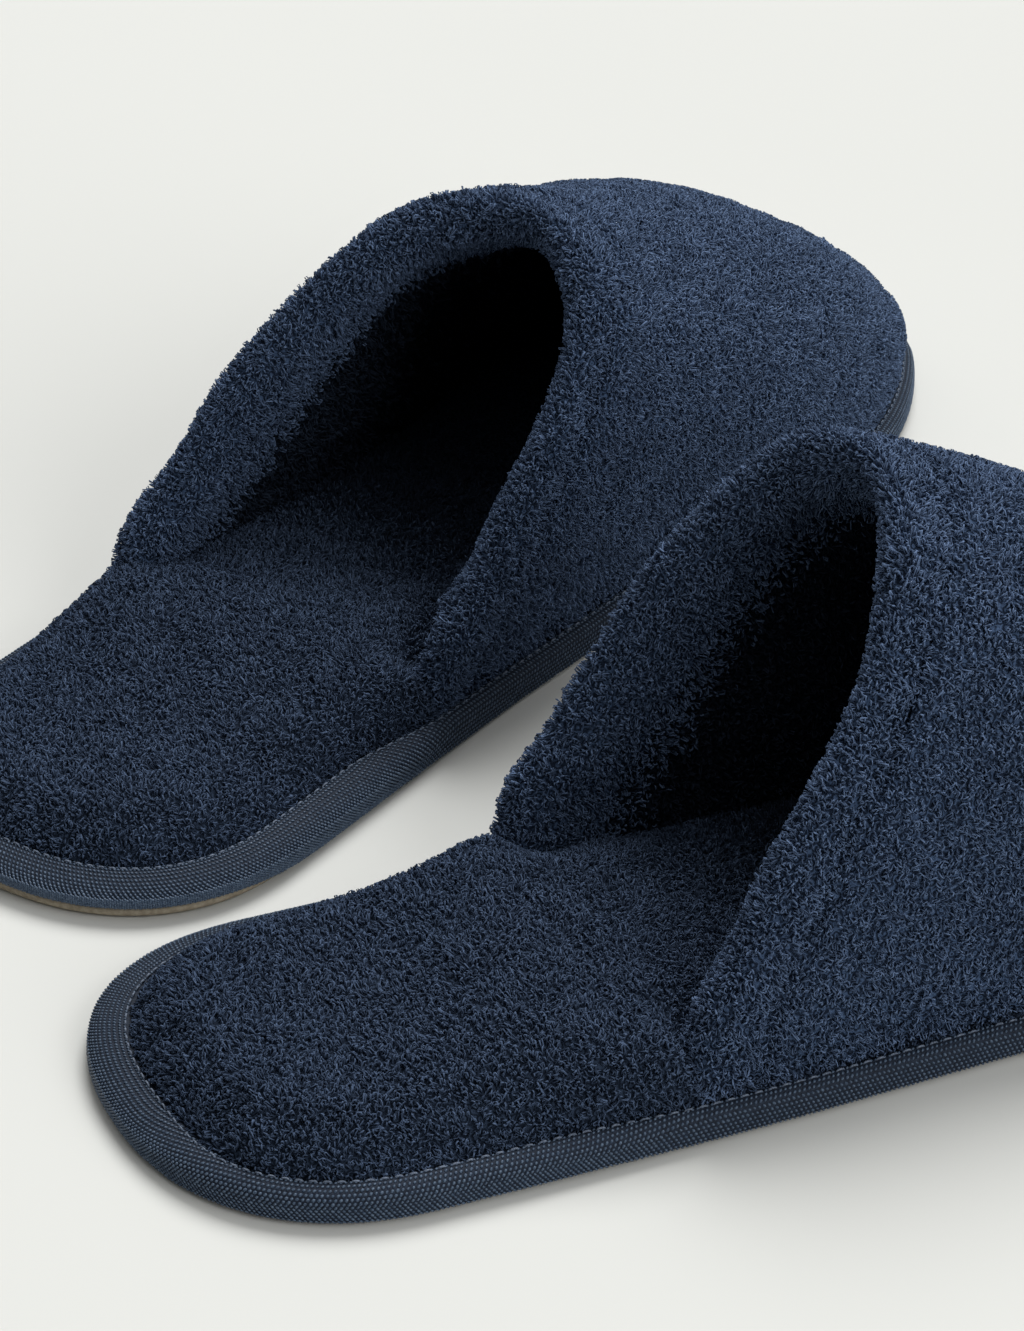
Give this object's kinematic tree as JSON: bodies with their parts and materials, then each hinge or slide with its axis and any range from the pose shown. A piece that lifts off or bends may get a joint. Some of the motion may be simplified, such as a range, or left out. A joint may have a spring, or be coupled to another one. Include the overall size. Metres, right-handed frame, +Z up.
{
  "type": "spa slippers",
  "caption": "Pair of closed-toe terry spa slippers with a padded upper, a rolled collar, a crowned terry insole and a foam sole bound with ribbed tape.",
  "frame": {"origin": "middle of the pair's footprint, on the floor", "axes": "+X from the heels towards the toes, midway between the two slippers' own directions; +Y towards the left slipper; +Z up"},
  "size_m": [0.3108, 0.2894, 0.0919],
  "materials": {
    "upper_terry": "short loop pile, matt with a soft sheen",
    "collar_terry": "short loop pile, matt",
    "lining_terry": "short loop pile, matt",
    "insole_terry": "short brushed pile, matt",
    "binding_tape": "woven ribbed tape, satin",
    "sewing_thread": "twisted thread, satin",
    "outsole": "fine matt texture",
    "sole_foam": "closed-cell foam",
    "insole_board": "pressed fibre board",
    "padding_foam": "open-cell foam",
    "terry_yarn_dark": "cotton loop pile in the shade",
    "terry_yarn_mid": "cotton loop pile",
    "terry_yarn_light": "cotton loop pile, lighter tips"
  },
  "bodies": {
    "left_slipper": {"left_outsole_front": "outsole", "left_midsole_front": "sole_foam", "left_insole_board_front": "insole_board", "left_insole_foam_front": "padding_foam", "left_insole_cover_front": "insole_terry", "left_binding_tape_front": "binding_tape", "left_binding_thread_front": "sewing_thread", "left_upper_cover": "upper_terry", "left_upper_padding": "padding_foam", "left_upper_lining": "lining_terry", "left_collar_roll": "collar_terry"},
    "left_heel": {"left_outsole_heel": "outsole", "left_midsole_heel": "sole_foam", "left_insole_board_heel": "insole_board", "left_insole_foam_heel": "padding_foam", "left_insole_cover_heel": "insole_terry", "left_binding_tape_heel": "binding_tape", "left_binding_thread_heel": "sewing_thread"},
    "right_slipper": {"right_outsole_front": "outsole", "right_midsole_front": "sole_foam", "right_insole_board_front": "insole_board", "right_insole_foam_front": "padding_foam", "right_insole_cover_front": "insole_terry", "right_binding_tape_front": "binding_tape", "right_binding_thread_front": "sewing_thread", "right_upper_cover": "upper_terry", "right_upper_padding": "padding_foam", "right_upper_lining": "lining_terry", "right_collar_roll": "collar_terry"},
    "right_heel": {"right_outsole_heel": "outsole", "right_midsole_heel": "sole_foam", "right_insole_board_heel": "insole_board", "right_insole_foam_heel": "padding_foam", "right_insole_cover_heel": "insole_terry", "right_binding_tape_heel": "binding_tape", "right_binding_thread_heel": "sewing_thread"}
  },
  "joints": [
    {"name": "right_lift", "type": "slide", "parent": "left_slipper", "child": "right_slipper", "axis": [0, 0, 1], "range_m": [0, 0.12]},
    {"name": "left_sole_bend", "type": "hinge", "parent": "left_slipper", "child": "left_heel", "pos_m": [-0.06369, 0.05833, 0.0128], "axis": [-0.2377, 0.9713, 0], "range_deg": [0, 40], "stiffness_Nm_per_rad": 0.25},
    {"name": "right_sole_bend", "type": "hinge", "parent": "right_slipper", "child": "right_heel", "pos_m": [-0.08669, -0.05833, 0.0128], "axis": [0.2377, 0.9713, 0], "range_deg": [0, 40], "stiffness_Nm_per_rad": 0.25}
  ]
}
